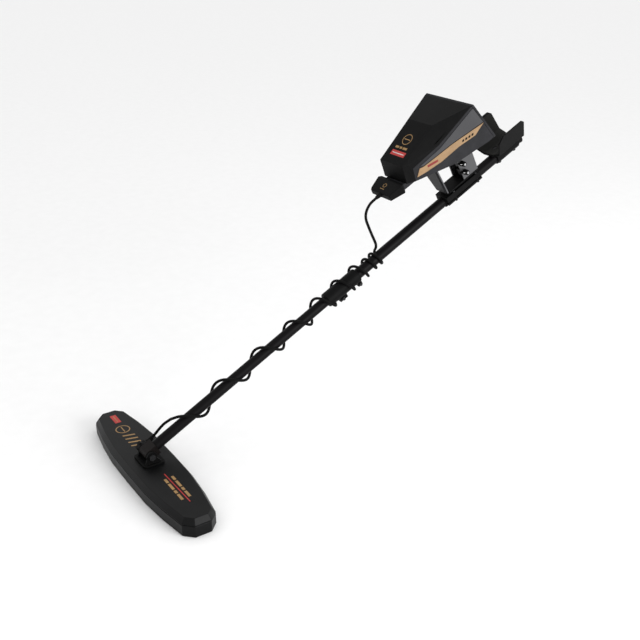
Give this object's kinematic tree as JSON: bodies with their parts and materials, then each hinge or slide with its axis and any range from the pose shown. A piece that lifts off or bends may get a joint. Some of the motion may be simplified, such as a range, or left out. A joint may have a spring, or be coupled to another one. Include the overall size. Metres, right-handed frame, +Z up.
{
  "type": "metal detector",
  "caption": "Hand-held metal detector: flat oblong search coil on a pivot, telescoping shaft with a wound cable, raised wedge-shaped control box on a stand, and a forearm cuff.",
  "frame": {"origin": "middle of the hand grip, which is the stand's front leg under the control box", "axes": "+X to the user's left, +Y to the rear towards the elbow, +Z up; the coil lies level and the shaft rises to the rear at 27.8 degrees"},
  "size_m": [0.4612, 1.024, 0.6815],
  "materials": {
    "satin_black_tube": "satin black coating",
    "black_plastic": "matt",
    "black_rubber": "matt",
    "dark_grey_plastic": "matt",
    "light_grey_panel": "satin",
    "tan_band": "satin",
    "brushed_aluminium": "brushed",
    "bright_steel": "bright",
    "copper_winding": "enamelled wire",
    "circuit_board": "solder resist",
    "display_glass": "gloss",
    "cuff_foam": "foam with a fabric face",
    "battery_wrap": "shrink wrap"
  },
  "bodies": {
    "handle": {"base_plate": "brushed_aluminium", "battery_pack": "battery_wrap", "cable_lead": "black_rubber", "clamp_screw_1": "bright_steel", "clamp_screw_2": "bright_steel", "clamp_sleeve": "black_plastic", "control_panel": "black_plastic", "cuff_bolt_front": "bright_steel", "cuff_bolt_rear": "bright_steel", "cuff_liner": "cuff_foam", "cuff_shell": "black_plastic", "cuff_sleeve": "black_plastic", "display_window": "display_glass", "front_leg": "brushed_aluminium", "front_leg_pad": "black_rubber", "headphone_jack": "bright_steel", "housing_lower_shell": "dark_grey_plastic", "housing_top_shell": "black_plastic", "lcd_module": "circuit_board", "main_board": "circuit_board", "plug_body": "black_plastic", "plug_strain_relief": "black_rubber", "rear_bezel": "light_grey_panel", "rear_leg": "brushed_aluminium", "saddle_bolt_1": "bright_steel", "saddle_bolt_2": "bright_steel", "saddle_bolt_3": "bright_steel", "saddle_bolt_4": "bright_steel", "saddle_lower": "black_plastic", "saddle_upper": "black_plastic", "selector_switch_lower": "dark_grey_plastic", "selector_switch_upper": "dark_grey_plastic", "side_band_left": "tan_band", "side_band_right": "tan_band", "side_panel_left": "light_grey_panel", "side_panel_right": "light_grey_panel", "socket_block": "dark_grey_plastic", "speaker": "dark_grey_plastic", "tube_end_cap": "black_rubber", "upper_tube": "satin_black_tube"},
    "lower_shaft": {"lower_rod": "satin_black_tube", "rod_yoke": "dark_grey_plastic", "cable_winding": "black_rubber"},
    "search_coil": {"coil_top_shell": "black_plastic", "coil_bottom_shell": "black_plastic", "transmit_winding": "copper_winding", "receive_winding": "copper_winding", "coil_bracket": "black_plastic", "coil_cable_gland": "black_rubber", "pivot_bolt": "bright_steel", "pivot_nut": "black_plastic", "pivot_washer_left": "black_rubber", "pivot_washer_right": "black_rubber", "cable_tail": "black_rubber"},
    "upper_selector": {"selector_knob_upper": "black_plastic"},
    "lower_selector": {"selector_knob_lower": "black_plastic"},
    "first_key": {"key_1": "black_rubber"},
    "second_key": {"key_2": "black_rubber"},
    "third_key": {"key_3": "black_rubber"},
    "power_key": {"power_button": "bright_steel"}
  },
  "joints": [
    {"name": "rod_slide", "type": "slide", "parent": "handle", "child": "lower_shaft", "axis": [0, -0.8846, -0.4664], "range_m": [0, 0.12], "deforming": ["cable_winding"]},
    {"name": "coil_tilt", "type": "hinge", "parent": "lower_shaft", "child": "search_coil", "pos_m": [0, -0.72303, -0.44904], "axis": [1, 0, 0], "range_deg": [-70, 26], "deforming": ["cable_tail"]},
    {"name": "upper_selector_turn", "type": "hinge", "parent": "handle", "child": "upper_selector", "pos_m": [0.0255, 0.05607, 0.03409], "axis": [1, 0, 0], "range_deg": [-50, 50]},
    {"name": "lower_selector_turn", "type": "hinge", "parent": "handle", "child": "lower_selector", "pos_m": [0.0255, 0.0668, 0.01374], "axis": [1, 0, 0], "range_deg": [-50, 50]},
    {"name": "first_key_press", "type": "slide", "parent": "handle", "child": "first_key", "axis": [0, -0.7166, -0.6975], "range_m": [0, 0.001], "stiffness_N_per_m": 900, "springref_m": -0.0005},
    {"name": "second_key_press", "type": "slide", "parent": "handle", "child": "second_key", "axis": [0, -0.7166, -0.6975], "range_m": [0, 0.001], "stiffness_N_per_m": 900, "springref_m": -0.0005},
    {"name": "third_key_press", "type": "slide", "parent": "handle", "child": "third_key", "axis": [0, -0.7166, -0.6975], "range_m": [0, 0.001], "stiffness_N_per_m": 900, "springref_m": -0.0005},
    {"name": "power_press", "type": "slide", "parent": "handle", "child": "power_key", "axis": [0, -0.7166, -0.6975], "range_m": [0, 0.001], "stiffness_N_per_m": 900, "springref_m": -0.0005}
  ]
}
